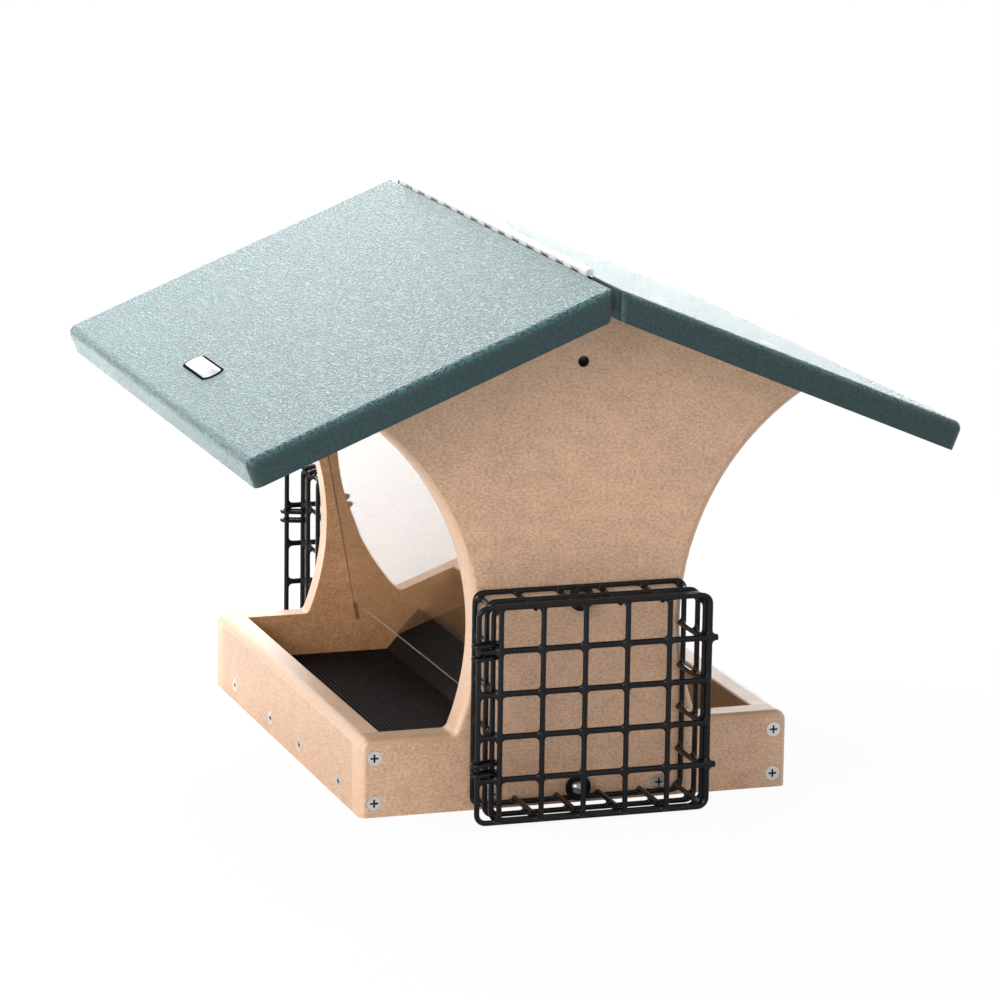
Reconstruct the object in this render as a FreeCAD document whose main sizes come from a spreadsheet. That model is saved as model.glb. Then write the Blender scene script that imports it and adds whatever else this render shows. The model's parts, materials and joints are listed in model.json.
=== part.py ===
"""Hopper bird feeder: board tray and gables, hinged roof lid, two windows and two wire suet cages.

Millimetres, +Z up. The origin is the middle of the underside. X runs across the feeder, Y runs along
the ridge, and the front end panel faces -Y. The lid is the -X half of the roof.
"""
import FreeCAD, Part
import os

import Sketcher

Vector = FreeCAD.Vector
Rotation = FreeCAD.Rotation

SIZES = {
    # Tray and end panels
    "tray_width": 250,
    "body_length": 305,
    "tray_height": 44,
    "panel_thickness": 16,
    "rail_thickness": 16,
    "floor_thickness": 16,
    "corner_round": 6,
    "edge_round": 4,
    "rail_inner_round": 1.2,
    "waist_half_width": 60.5,
    "waist_radius": 148,
    "waist_middle": 100.5,
    "waist_blend": 4,
    "hanging_hole": 6,
    "hanging_drop": 32,
    # Floor mat and seed diverter
    "mat_thickness": 3,
    "mat_clearance": 0.5,
    "diverter_width": 44,
    "diverter_height": 24.5,
    "diverter_sheet": 2,
    "diverter_clearance": 0.3,
    # Roof boards
    "roof_apex": 281,
    "roof_pitch": 22.4,
    "roof_slope_length": 215,
    "roof_length": 409,
    "roof_thickness": 16,
    "roof_round": 5,
    "ridge_round": 0.8,
    "ridge_corner": 4.4,
    "lid_gap": 0.2,
    # Label plate on the lid
    "label_length": 50,
    "label_width": 13.6,
    "label_bulge_radius": 7.5,
    "label_thickness": 0.6,
    "label_from_eave": 32.3,
    "label_shift": 6,
    # Ridge hinge
    "hinge_barrel": 4.2,
    "hinge_leaf": 0.9,
    "hinge_leaf_drop": 15,
    "hinge_rise": 1,
    "hinge_shift": 11.7,
    "knuckle_length": 12.7,
    "knuckle_gap": 0.3,
    "notch_clearance": 0.4,
    "pin_diameter": 2.2,
    "pin_clearance": 0.05,
    # Windows and their grooves
    "window_thickness": 2.5,
    "window_foot_x": 42,
    "window_foot_z": 50.4,
    "window_lean": 10.4,
    "window_headroom": 9,
    "window_end_gap": 0.3,
    "groove_depth": 5,
    "groove_side_gap": 0.25,
    "notch_width": 3.4,
    "notch_depth": 4.5,
    "notch_length": 12,
    # Board screws
    "screw_head": 8.4,
    "screw_shank": 4.2,
    "screw_length": 32,
    "screw_point": 4,
    "screw_fit": 0.1,
    "screw_head_gap": 0.2,
    "recess_span": 4.6,
    "recess_width": 1.1,
    "recess_depth": 1.2,
    "corner_screw_drop": 10.5,
    "floor_screw_x": 49,
    "rail_screw_near": 30.6,
    "rail_screw_far": 109.3,
    "rail_screw_lift": 1.8,
    "roof_screw_near": 42,
    "roof_screw_far": 112,
    # Hinge screws
    "hinge_screw_head": 4.6,
    "hinge_screw_head_height": 0.8,
    "hinge_screw_shank": 2.4,
    "hinge_screw_length": 10,
    "hinge_screw_step": 60,
    "hinge_screw_drop": 10.5,
    # Suet cages
    "cage_wire": 3,
    "cage_width": 122,
    "cage_height": 120,
    "cage_floor": 3.4,
    "cage_depth": 33,
    "cage_middle": 21.5,
    "cage_corner": 5,
    "weld_sink": 0.6,
    "door_gap": 0.3,
    "door_hinge_reach": 9.3,
    "door_side_reach": 1.8,
    "upright_inset": 2.6,
    "latch_length": 5,
    "hinge_ring_wire": 2.4,
    "hinge_ring_clearance": 0.3,
    "hinge_ring_step": 3.6,
    "hinge_ring_pitch": 5.4,
    # Cage screws and washers
    "washer_diameter": 14.6,
    "washer_thickness": 1.2,
    "washer_hole": 4.6,
    "washer_reach": 6,
    "cage_screw_head": 8,
    "cage_screw_head_height": 2.8,
    "cage_screw_length": 15,
}

KNUCKLES = 27
HINGE_SCREWS = 6
CELLS = 5

# Sizes that follow from the driving ones
DERIVED = {
    "half_width": "Sizes.tray_width / 2",
    "half_length": "Sizes.body_length / 2",
    "inner_half_length": "half_length - Sizes.panel_thickness",
    "floor_half_width": "half_width - Sizes.rail_thickness",
    "mat_top": "Sizes.floor_thickness + Sizes.mat_thickness",
    "slope": "tan(Sizes.roof_pitch)",
    "slope_cos": "cos(Sizes.roof_pitch)",
    "slope_sin": "sin(Sizes.roof_pitch)",
    # Waist of the end panels: one circle per side, blended into the tray's top edge
    "waist_x": "Sizes.waist_half_width + Sizes.waist_radius",
    "blend_dz": "Sizes.waist_middle - Sizes.tray_height - Sizes.waist_blend",
    "blend_reach": "Sizes.waist_radius - Sizes.waist_blend",
    "blend_dx": "sqrt(blend_reach ^ 2 - blend_dz ^ 2)",
    "blend_x": "waist_x - blend_dx",
    "blend_end_x": "waist_x - blend_dx * Sizes.waist_radius / blend_reach",
    "blend_end_z": "Sizes.waist_middle - blend_dz * Sizes.waist_radius / blend_reach",
    # Tip of the gable, where the waist circle meets the roof's underside
    "tip_rise": "Sizes.roof_apex - Sizes.waist_middle",
    "tip_sum": "waist_x + tip_rise * slope",
    "tip_product": "waist_x ^ 2 + tip_rise ^ 2 - Sizes.waist_radius ^ 2",
    "tip_root": "sqrt(tip_sum ^ 2 - (1 + slope ^ 2) * tip_product)",
    "tip_x": "(tip_sum - tip_root) / (1 + slope ^ 2)",
    "tip_z": "Sizes.roof_apex - tip_x * slope",
    # Roof section
    "ridge_half": "Sizes.hinge_barrel / 2",
    "ridge_z": "Sizes.roof_apex - ridge_half * slope",
    "ridge_top_z": "ridge_z + Sizes.roof_thickness / slope_cos",
    "eave_x": "Sizes.roof_slope_length * slope_cos",
    "eave_z": "Sizes.roof_apex - Sizes.roof_slope_length * slope_sin",
    "eave_top_x": "eave_x + Sizes.roof_thickness * slope_sin",
    "eave_top_z": "eave_z + Sizes.roof_thickness * slope_cos",
    "lid_shift_x": "-Sizes.lid_gap * slope_sin",
    "lid_shift_z": "Sizes.lid_gap * slope_cos",
    # Ridge hinge
    "hinge_z": "Sizes.roof_apex + Sizes.roof_thickness / slope_cos + Sizes.hinge_rise",
    "barrel_radius": "Sizes.hinge_barrel / 2",
    "hinge_length": f"{KNUCKLES} * Sizes.knuckle_length",
    "hinge_start": "Sizes.hinge_shift - hinge_length / 2",
    "hinge_screw_z": "hinge_z - Sizes.hinge_screw_drop",
    # Windows
    "lean_sin": "sin(Sizes.window_lean)",
    "lean_cos": "cos(Sizes.window_lean)",
    "window_drop": "Sizes.roof_apex - Sizes.window_foot_x * slope - Sizes.window_foot_z",
    "window_run": "window_drop / (lean_cos + lean_sin * slope)",
    "window_height": "window_run - Sizes.window_headroom",
    "groove_width": "Sizes.window_thickness + 2 * Sizes.groove_side_gap",
    "window_half_span": "inner_half_length + Sizes.groove_depth - Sizes.window_end_gap",
    # Suet cages, measured outwards from the end panel's face
    "wire_radius": "Sizes.cage_wire / 2",
    "weld_step": "Sizes.cage_wire - Sizes.weld_sink",
    "cage_side": "Sizes.cage_width / 2",
    "cage_top": "Sizes.cage_floor + Sizes.cage_height",
    "back_y": "-(half_length + wire_radius)",
    "middle_y": "back_y - Sizes.cage_middle",
    "rim_y": "back_y - Sizes.cage_depth",
    "door_y": "rim_y - Sizes.cage_wire - Sizes.door_gap",
    "door_front_y": "door_y - weld_step",
    "bar_y": "door_y - Sizes.weld_sink",
    "door_left": "-(cage_side + Sizes.door_hinge_reach)",
    "door_right": "cage_side + Sizes.door_side_reach",
    "upright_x": "-(cage_side - Sizes.upright_inset)",
    "upright_step": f"(door_right - upright_x) / {CELLS}",
    "cell_width": f"Sizes.cage_width / {CELLS}",
    "cell_height": f"Sizes.cage_height / {CELLS}",
    "ring_radius": "wire_radius + Sizes.hinge_ring_clearance + Sizes.hinge_ring_wire / 2",
    "ring_reach": "sqrt(Sizes.door_hinge_reach ^ 2 + (rim_y - door_y) ^ 2)",
    "ring_turn": "atan((rim_y - door_y) / Sizes.door_hinge_reach)",
    "washer_y": "-(half_length + Sizes.cage_wire)",
    "washer_face_y": "washer_y - Sizes.washer_thickness",
    "cage_screw_low": "Sizes.cage_floor + Sizes.washer_reach",
    "cage_screw_high": "cage_top - Sizes.washer_reach",
}

# Directions that a screw's head can face
FACING_FRONT = (Vector(1, 0, 0), "90")
FACING_REAR = (Vector(1, 0, 0), "-90")
FACING_LEFT = (Vector(0, 1, 0), "-90")
FACING_RIGHT = (Vector(0, 1, 0), "90")
FACING_ROOF = (Vector(0, 1, 0), "Sizes.roof_pitch")

TINY = 1e-6
NEAR = 1e-3

doc = FreeCAD.newDocument("HopperFeeder")
nodes = []


def make_sheet(name, cells, prefix):
    """Fill a spreadsheet with one named cell per size."""
    sheet = doc.addObject("Spreadsheet::Sheet", name)
    for row, (alias, content) in enumerate(cells.items(), start=1):
        sheet.set(f"A{row}", alias)
        sheet.set(f"B{row}", f"{prefix}{content}")
        sheet.setAlias(f"B{row}", alias)
    doc.recompute()
    return sheet


sizes = make_sheet("Sizes", SIZES, "")
make_sheet("Derived", DERIVED, "=")


def value(expression):
    """Work out an expression on the sheets' names as a plain number."""
    result = sizes.evalExpression(expression)
    return float(getattr(result, "Value", result))


def bind(thing, expressions):
    """Tie properties of a document object to expressions."""
    for name, expression in expressions.items():
        thing.setExpression(name, expression)


def place(thing, x="0", y="0", z="0", turn=None):
    """Place an object by expressions; turn is an axis and an angle expression."""
    if turn:
        axis, angle = turn
        thing.Placement.Rotation = Rotation(axis, value(angle))
        if value(angle) > 0:
            thing.setExpression("Placement.Rotation.Angle", f"({angle}) * 1 deg")
    bind(thing, {"Placement.Base.x": x, "Placement.Base.y": y, "Placement.Base.z": z})


def keep(name, thing):
    """Name a finished sub-part."""
    thing.Label = name
    nodes.append(thing)
    return thing


def pin_point(sketch, geometry, point, x, y):
    """Hold one point of a sketch at a place given by two expressions."""
    for kind, expression, axis in (("DistanceX", x, -2), ("DistanceY", y, -1)):
        size = value(expression)
        if abs(size) < TINY:
            sketch.addConstraint(Sketcher.Constraint("PointOnObject", geometry, point, axis))
            continue
        ends = (-1, 1, geometry, point) if size > 0 else (geometry, point, -1, 1)
        index = sketch.addConstraint(Sketcher.Constraint(kind, *ends, abs(size)))
        signed = expression if size > 0 else f"-({expression})"
        sketch.setExpression(f"Constraints[{index}]", signed)


def arc_between(start, end, radius):
    """An arc of less than a half circle; a positive radius turns to the left."""
    chord = end - start
    across = Vector(-chord.y, chord.x, 0).normalize()
    half = chord.Length / 2
    offset = (radius ** 2 - half ** 2) ** 0.5
    side = 1 if radius > 0 else -1
    centre = (start + end) * 0.5 + across * (side * offset)
    middle = centre - across * (side * abs(radius))
    return Part.Arc(start, middle, end)


def outline(sketch, corners):
    """Draw a closed outline; a corner is (x, y), or (x, y, radius) where an arc goes on from it."""
    places = [Vector(value(corner[0]), value(corner[1]), 0) for corner in corners]
    starts = []
    ends = []
    for number, corner in enumerate(corners):
        start = places[number]
        end = places[(number + 1) % len(places)]
        if len(corner) == 2:
            index = sketch.addGeometry(Part.LineSegment(start, end), False)
            starts.append((index, 1))
            ends.append((index, 2))
            continue
        radius = value(corner[2])
        index = sketch.addGeometry(arc_between(start, end, radius), False)
        starts.append((index, 1) if radius > 0 else (index, 2))
        ends.append((index, 2) if radius > 0 else (index, 1))
    for number, start in enumerate(starts):
        sketch.addConstraint(Sketcher.Constraint("Coincident", *ends[number - 1], *start))
    for number, corner in enumerate(corners):
        pin_point(sketch, *starts[number], corner[0], corner[1])
        if len(corner) == 3:
            radius = value(corner[2])
            index = sketch.addConstraint(Sketcher.Constraint("Radius", starts[number][0], abs(radius)))
            signed = corner[2] if radius > 0 else f"-({corner[2]})"
            sketch.setExpression(f"Constraints[{index}]", signed)


def new_body(name):
    """A body for one sub-part or one master shape."""
    return doc.addObject("PartDesign::Body", name)


def sketch_in(body, role):
    """A sketch on one of a body's own origin planes."""
    sketch = body.newObject("Sketcher::SketchObject", f"{body.Name}Sketch")
    plane = next(feature for feature in body.Origin.OriginFeatures if feature.Role == role)
    sketch.AttachmentSupport = (plane, [""])
    sketch.MapMode = "FlatFace"
    return sketch


def pad(body, role, corners, length, side="One side"):
    """Pad an outline."""
    sketch = sketch_in(body, role)
    outline(sketch, corners)
    feature = body.newObject("PartDesign::Pad", f"{body.Name}Pad")
    feature.Profile = sketch
    feature.SideType = side
    feature.setExpression("Length", length)
    doc.recompute()
    return feature


def pocket(body, role, corners, depth, side="One side"):
    """Cut an outline down from a body's origin plane, or to both sides of it."""
    before = body.Shape.Volume
    sketch = sketch_in(body, role)
    outline(sketch, corners)
    feature = body.newObject("PartDesign::Pocket", f"{body.Name}Pocket")
    feature.Profile = sketch
    feature.SideType = side
    feature.setExpression("Length", depth)
    doc.recompute()
    if body.Shape.Volume >= before:
        raise RuntimeError(f"{body.Name}: the pocket cuts nothing")
    return feature


def fillet(body, feature, radius, wanted):
    """Round the edges of a feature that the test picks."""
    names = [f"Edge{number}" for number, edge in enumerate(feature.Shape.Edges, start=1) if wanted(edge)]
    rounded = body.newObject("PartDesign::Fillet", f"{body.Name}Fillet")
    rounded.Base = (feature, names)
    rounded.setExpression("Radius", radius)
    doc.recompute()
    return rounded


def revolved(name, corners):
    """A turned piece about its own Z axis; corners are (radius, height)."""
    body = new_body(name)
    sketch = sketch_in(body, "XZ_Plane")
    outline(sketch, corners)
    feature = body.newObject("PartDesign::Revolution", f"{name}Turn")
    feature.Profile = sketch
    feature.ReferenceAxis = (sketch, ["V_Axis"])
    feature.Angle = 360
    doc.recompute()
    return body


def box(name, x, y, z, length, width, height, turn=None):
    """A plain board or block from its low corner and its three sides."""
    block = doc.addObject("Part::Box", name)
    bind(block, {"Length": length, "Width": width, "Height": height})
    place(block, x, y, z, turn)
    return block


def rod(name, radius, length, x, y, z, turn=None):
    """A round bar from its first end."""
    bar = doc.addObject("Part::Cylinder", name)
    bind(bar, {"Radius": radius, "Height": length})
    place(bar, x, y, z, turn)
    return bar


def copies(name, master, places, turn):
    """Copies of a master shape at listed places, as one group of separate solids."""
    links = []
    for x, y, z in places:
        link = doc.addObject("App::Link", f"{name}Copy")
        link.LinkedObject = master
        place(link, x, y, z, turn)
        links.append(link)
    return group(name, links)


def group(name, things):
    """Several shapes as one compound."""
    compound = doc.addObject("Part::Compound", name)
    compound.Links = things
    return compound


def fused(name, things):
    """Several crossing shapes as one solid."""
    union = doc.addObject("Part::MultiFuse", name)
    union.Shapes = things
    return union


def cut(name, base, tool):
    """One shape less another."""
    rest = doc.addObject("Part::Cut", name)
    rest.Base = base
    rest.Tool = tool
    return rest


def mirrored(name, source):
    """The rear twin of a front piece."""
    twin = doc.addObject("Part::Mirroring", name)
    twin.Source = source
    twin.Normal = Vector(0, 1, 0)
    return twin


def wire_loop(name, corners, radius, turn, x="0", y="0", z="0"):
    """A closed wire bent along an outline whose first run starts along the outline's own +X."""
    path = doc.addObject("Sketcher::SketchObject", f"{name}Path")
    outline(path, corners)
    section = doc.addObject("Part::Circle", f"{name}Section")
    section.setExpression("Radius", radius)
    section.Placement.Rotation = Rotation(Vector(0, 1, 0), 90)
    bind(section, {"Placement.Base.x": corners[0][0], "Placement.Base.y": corners[0][1]})
    doc.recompute()
    loop = doc.addObject("Part::Sweep", name)
    loop.Sections = [section]
    loop.Spine = (path, [f"Edge{number + 1}" for number in range(len(corners))])
    loop.Solid = True
    place(loop, x, y, z, turn)
    return loop


# Board screws: a flat head at the origin, its shank down -Z, and a cross recess
def make_board_screw():
    head = "Sizes.screw_head / 2"
    shank = "Sizes.screw_shank / 2"
    neck = f"-({head} - {shank})"
    body = revolved("BoardScrew", [
        ("0", "0"),
        ("0", "-Sizes.screw_length"),
        (shank, "-(Sizes.screw_length - Sizes.screw_point)"),
        (shank, neck),
        (head, "0"),
    ])
    arm = "Sizes.recess_span / 2"
    half = "Sizes.recess_width / 2"
    pocket(body, "XY_Plane", [
        (f"-({half})", f"-({arm})"), (half, f"-({arm})"), (half, f"-({half})"),
        (arm, f"-({half})"), (arm, half), (half, half),
        (half, arm), (f"-({half})", arm), (f"-({half})", half),
        (f"-({arm})", half), (f"-({arm})", f"-({half})"), (f"-({half})", f"-({half})"),
    ], "Sizes.recess_depth")
    return body


def make_screw_hole():
    """The countersunk hole that a board screw fills, a little wider all round."""
    head = "(Sizes.screw_head / 2 + Sizes.screw_head_gap)"
    shank = "(Sizes.screw_shank + Sizes.screw_fit) / 2"
    return revolved("ScrewHole", [
        ("0", "Sizes.screw_fit"),
        ("0", "-Sizes.screw_length"),
        (shank, "-Sizes.screw_length"),
        (shank, f"-({head} - {shank})"),
        (head, "0"),
        (head, "Sizes.screw_fit"),
    ])


screw = make_board_screw()
screw_hole = make_screw_hole()
corner_x = "Derived.half_width - Sizes.rail_thickness / 2"
corner_z = "Sizes.tray_height - Sizes.corner_screw_drop"
low_z = "Sizes.floor_thickness / 2"
panel_places = [
    (f"{sign}({x})", z)
    for x, z in ((corner_x, corner_z), (corner_x, low_z), ("Sizes.floor_screw_x", low_z))
    for sign in ("", "-")
]
rail_places = [
    (f"{sign}{y}", f"{low_z} + Sizes.rail_screw_lift")
    for y in ("Sizes.rail_screw_near", "Sizes.rail_screw_far")
    for sign in ("", "-")
]
roof_screw_y = "Derived.half_length - Sizes.panel_thickness / 2"
roof_places = [
    (
        f"{along} * Derived.slope_cos + Sizes.roof_thickness * Derived.slope_sin",
        f"{sign}({roof_screw_y})",
        f"Sizes.roof_apex - {along} * Derived.slope_sin + Sizes.roof_thickness * Derived.slope_cos",
    )
    for along in ("Sizes.roof_screw_near", "Sizes.roof_screw_far")
    for sign in ("", "-")
]
screw_sets = {
    "front_panel_screws": ([(x, "-Derived.half_length", z) for x, z in panel_places], FACING_FRONT),
    "rear_panel_screws": ([(x, "Derived.half_length", z) for x, z in panel_places], FACING_REAR),
    "left_rail_screws": ([("-Derived.half_width", y, z) for y, z in rail_places], FACING_LEFT),
    "right_rail_screws": ([("Derived.half_width", y, z) for y, z in rail_places], FACING_RIGHT),
    "roof_screws": (roof_places, FACING_ROOF),
}
hole_sets = []
for set_name, (set_places, facing) in screw_sets.items():
    keep(set_name, copies(f"Set_{set_name}", screw, set_places, facing))
    hole_sets.append(copies(f"Holes_{set_name}", screw_hole, set_places, facing))


# Cage screws: a domed head on a washer, which holds the cage's back ring to the end panel
def make_cage_screw():
    head = "Sizes.cage_screw_head / 2"
    rise = "Sizes.cage_screw_head_height"
    shank = "Sizes.screw_shank / 2"
    crown = f"(({head}) ^ 2 + {rise} ^ 2) / (2 * {rise})"
    return revolved("CageScrew", [
        ("0", rise),
        ("0", "-Sizes.cage_screw_length"),
        (shank, "-(Sizes.cage_screw_length - Sizes.screw_point)"),
        (shank, "0"),
        (head, "0", crown),
    ])


def make_washer():
    inner = "Sizes.washer_hole / 2"
    outer = "Sizes.washer_diameter / 2"
    thick = "Sizes.washer_thickness"
    return revolved("Washer", [(inner, f"-{thick}"), (outer, f"-{thick}"), (outer, "0"), (inner, "0")])


cage_places = [
    ("0", "Derived.washer_face_y", "Derived.cage_screw_low"),
    ("0", "Derived.washer_face_y", "Derived.cage_screw_high"),
]
cage_screws = keep("front_cage_screws", copies("CageScrews", make_cage_screw(), cage_places, FACING_FRONT))
washers = keep("front_cage_washers", copies("Washers", make_washer(), cage_places, FACING_FRONT))
keep("rear_cage_screws", mirrored("RearCageScrews", cage_screws))
keep("rear_cage_washers", mirrored("RearWashers", washers))
cage_hole_depth = "Sizes.cage_screw_length - Sizes.washer_thickness - Sizes.cage_wire"
cage_holes = [
    rod("CageHole", "(Sizes.screw_shank + Sizes.screw_fit) / 2", cage_hole_depth,
        x, f"{sign}Derived.half_length", z, facing)
    for sign, facing in (("-", FACING_REAR), ("", FACING_FRONT))
    for x, _, z in cage_places
]


# Hinge screws: low round heads on the leaves, shanks into the roof boards' plumb edges
def make_hinge_screw():
    head = "Sizes.hinge_screw_head / 2"
    shank = "Sizes.hinge_screw_shank / 2"
    rise = "Sizes.hinge_screw_head_height"
    return revolved("HingeScrew", [
        ("0", rise),
        ("0", "-Sizes.hinge_screw_length"),
        (shank, f"-(Sizes.hinge_screw_length - {shank})"),
        (shank, "0"),
        (head, "0"),
        (f"{head} - {rise} / 2", rise),
    ])


def make_hinge_drill():
    """The hole that a hinge screw's shank fills, through the leaf and into the board."""
    bore = "(Sizes.hinge_screw_shank + Sizes.screw_fit) / 2"
    rise = "Sizes.hinge_screw_head_height"
    depth = "-Sizes.hinge_screw_length"
    return revolved("HingeDrill", [("0", rise), ("0", depth), (bore, depth), (bore, rise)])


hinge_screw = make_hinge_screw()
hinge_drill = make_hinge_drill()
leaf_face = "(Derived.barrel_radius - Sizes.hinge_leaf)"
hinge_screw_ys = [
    f"Sizes.hinge_shift + Sizes.hinge_screw_step * {number - (HINGE_SCREWS - 1) / 2}"
    for number in range(HINGE_SCREWS)
]
hinge_sets = {
    "lid": ([(f"-{leaf_face}", y, "Derived.hinge_screw_z") for y in hinge_screw_ys], FACING_RIGHT),
    "fixed": ([(leaf_face, y, "Derived.hinge_screw_z") for y in hinge_screw_ys], FACING_LEFT),
}
hinge_holes = {}
for side, (side_places, facing) in hinge_sets.items():
    keep(f"hinge_screws_{side}", copies(f"HingeScrews_{side}", hinge_screw, side_places, facing))
    hinge_holes[side] = copies(f"HingeHoles_{side}", hinge_drill, side_places, facing)


# Window grooves: a kerf for the sheet's edge and a shallow notch below the ledge it stands on
def groove_tools():
    tools = []
    for sign in ("", "-"):
        turn = (Vector(0, 1, 0), f"{sign}Sizes.window_lean")
        for label, width, start, length, depth in (
            ("Kerf", "Derived.groove_width", "0", "Derived.window_run + Sizes.roof_thickness",
             "Sizes.groove_depth"),
            ("Notch", "Sizes.notch_width", "-Sizes.notch_length", "Sizes.notch_length",
             "Sizes.notch_depth"),
        ):
            across = f"{width} / 2"
            x = (f"{sign}(Sizes.window_foot_x + ({start}) * Derived.lean_sin)"
                 f" - {across} * Derived.lean_cos")
            z = (f"Sizes.window_foot_z + ({start}) * Derived.lean_cos"
                 f" {'-' if sign else '+'} {across} * Derived.lean_sin")
            span = f"2 * (Derived.inner_half_length + {depth})"
            y = f"-(Derived.inner_half_length + {depth})"
            tools.append(box(f"Groove{label}", x, y, z, width, span, length, turn))
    return tools


# End panels
def make_end_panel(name, turn):
    body = new_body(f"Body_{name}")
    width = "Derived.half_width"
    height = "Sizes.tray_height"
    corner = "Sizes.corner_round"
    right = [
        (width, "0"),
        (width, f"{height} - {corner}", corner),
        (f"{width} - {corner}", height),
        ("Derived.blend_x", height, "-Sizes.waist_blend"),
        ("Derived.blend_end_x", "Derived.blend_end_z", "-Sizes.waist_radius"),
        ("Derived.tip_x", "Derived.tip_z"),
    ]
    left = [
        ("-Derived.tip_x", "Derived.tip_z", "-Sizes.waist_radius"),
        ("-Derived.blend_end_x", "Derived.blend_end_z", "-Sizes.waist_blend"),
        ("-Derived.blend_x", height),
        (f"-({width} - {corner})", height, corner),
        (f"-({width})", f"{height} - {corner}"),
        (f"-({width})", "0"),
    ]
    board = pad(body, "XZ_Plane", right + [("0", "Sizes.roof_apex")] + left, "Sizes.panel_thickness")
    face_y = -value("Sizes.panel_thickness")
    apex = value("Sizes.roof_apex")
    slope = value("Derived.slope")

    def outer_arris(edge):
        middle = edge.valueAt((edge.FirstParameter + edge.LastParameter) / 2)
        on_face = all(abs(point.y - face_y) < NEAR for point in [middle] + [v.Point for v in edge.Vertexes])
        under_roof = abs(middle.z + abs(middle.x) * slope - apex) < NEAR
        return on_face and middle.z > NEAR and not under_roof

    fillet(body, board, "Sizes.edge_round", outer_arris)
    sign = "-" if turn is None else ""
    place(body, "0", f"{sign}(Derived.half_length - Sizes.panel_thickness)", "0", turn)
    hole = rod(f"HangingHole_{name}", "Sizes.hanging_hole / 2", "Sizes.body_length",
               "0", "-Derived.half_length", "Sizes.roof_apex - Sizes.hanging_drop", FACING_REAR)
    drilled = cut(f"Drilled_{name}", body, fused(f"Bores_{name}", [hole] + cage_holes))
    grooved = cut(f"Grooved_{name}", drilled, panel_grooves)
    return keep(name, cut(f"Finished_{name}", grooved, all_holes))


all_holes = group("AllScrewHoles", hole_sets)
panel_grooves = fused("PanelGrooves", groove_tools())
make_end_panel("front_end_panel", None)
make_end_panel("rear_end_panel", (Vector(0, 0, 1), "180"))


# Tray rails, floor, mat and diverter
def make_rail(name, turn):
    body = new_body(f"Body_{name}")
    inner = "Derived.floor_half_width"
    outer = "Derived.half_width"
    height = "Sizes.tray_height"
    pad(body, "XZ_Plane", [
        (inner, "0"),
        (outer, "0"),
        (outer, f"{height} - Sizes.corner_round", "Sizes.corner_round"),
        (f"{outer} - Sizes.corner_round", height),
        (f"{inner} + Sizes.rail_inner_round", height, "Sizes.rail_inner_round"),
        (inner, f"{height} - Sizes.rail_inner_round"),
    ], "2 * Derived.inner_half_length", "Symmetric")
    place(body, turn=turn)
    return keep(name, cut(f"Finished_{name}", body, all_holes))


def make_floor():
    board = box("FloorBlank", "-Derived.floor_half_width", "-Derived.inner_half_length", "0",
                "2 * Derived.floor_half_width", "2 * Derived.inner_half_length", "Sizes.floor_thickness")
    keep("floor_board", cut("FloorBoard", board, all_holes))
    gap = "Sizes.mat_clearance"
    keep("floor_mat", box(
        "FloorMat", f"-Derived.floor_half_width + {gap}", f"-Derived.inner_half_length + {gap}",
        "Sizes.floor_thickness", f"2 * (Derived.floor_half_width - {gap})",
        f"2 * (Derived.inner_half_length - {gap})", "Sizes.mat_thickness"))


def make_diverter():
    body = new_body("SeedDiverter")
    half = "Sizes.diverter_width / 2"
    rise = "Sizes.diverter_height"
    side = f"sqrt(({half}) ^ 2 + {rise} ^ 2)"
    foot = f"{half} - Sizes.diverter_sheet * {side} / {rise}"
    under = f"{rise} - Sizes.diverter_sheet * {side} / ({half})"
    pad(body, "XZ_Plane", [
        (f"-({half})", "0"), (f"-({foot})", "0"), ("0", under), (foot, "0"), (half, "0"), ("0", rise),
    ], "2 * (Derived.inner_half_length - Sizes.diverter_clearance)", "Symmetric")
    place(body, z="Derived.mat_top")
    keep("seed_diverter", body)


make_rail("left_tray_rail", (Vector(0, 0, 1), "180"))
make_rail("right_tray_rail", None)
make_floor()
make_diverter()


# Windows: clear sheets that stand on the grooves' ledges and lean outwards
def make_window(name, sign):
    half = "Sizes.window_thickness / 2"
    x = f"{sign}Sizes.window_foot_x - {half} * Derived.lean_cos"
    z = f"Sizes.window_foot_z {'-' if sign else '+'} {half} * Derived.lean_sin"
    keep(name, box(f"Sheet_{name}", x, "-Derived.window_half_span", z, "Sizes.window_thickness",
                   "2 * Derived.window_half_span", "Derived.window_height",
                   (Vector(0, 1, 0), f"{sign}Sizes.window_lean")))


make_window("left_window", "-")
make_window("right_window", "")


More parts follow.
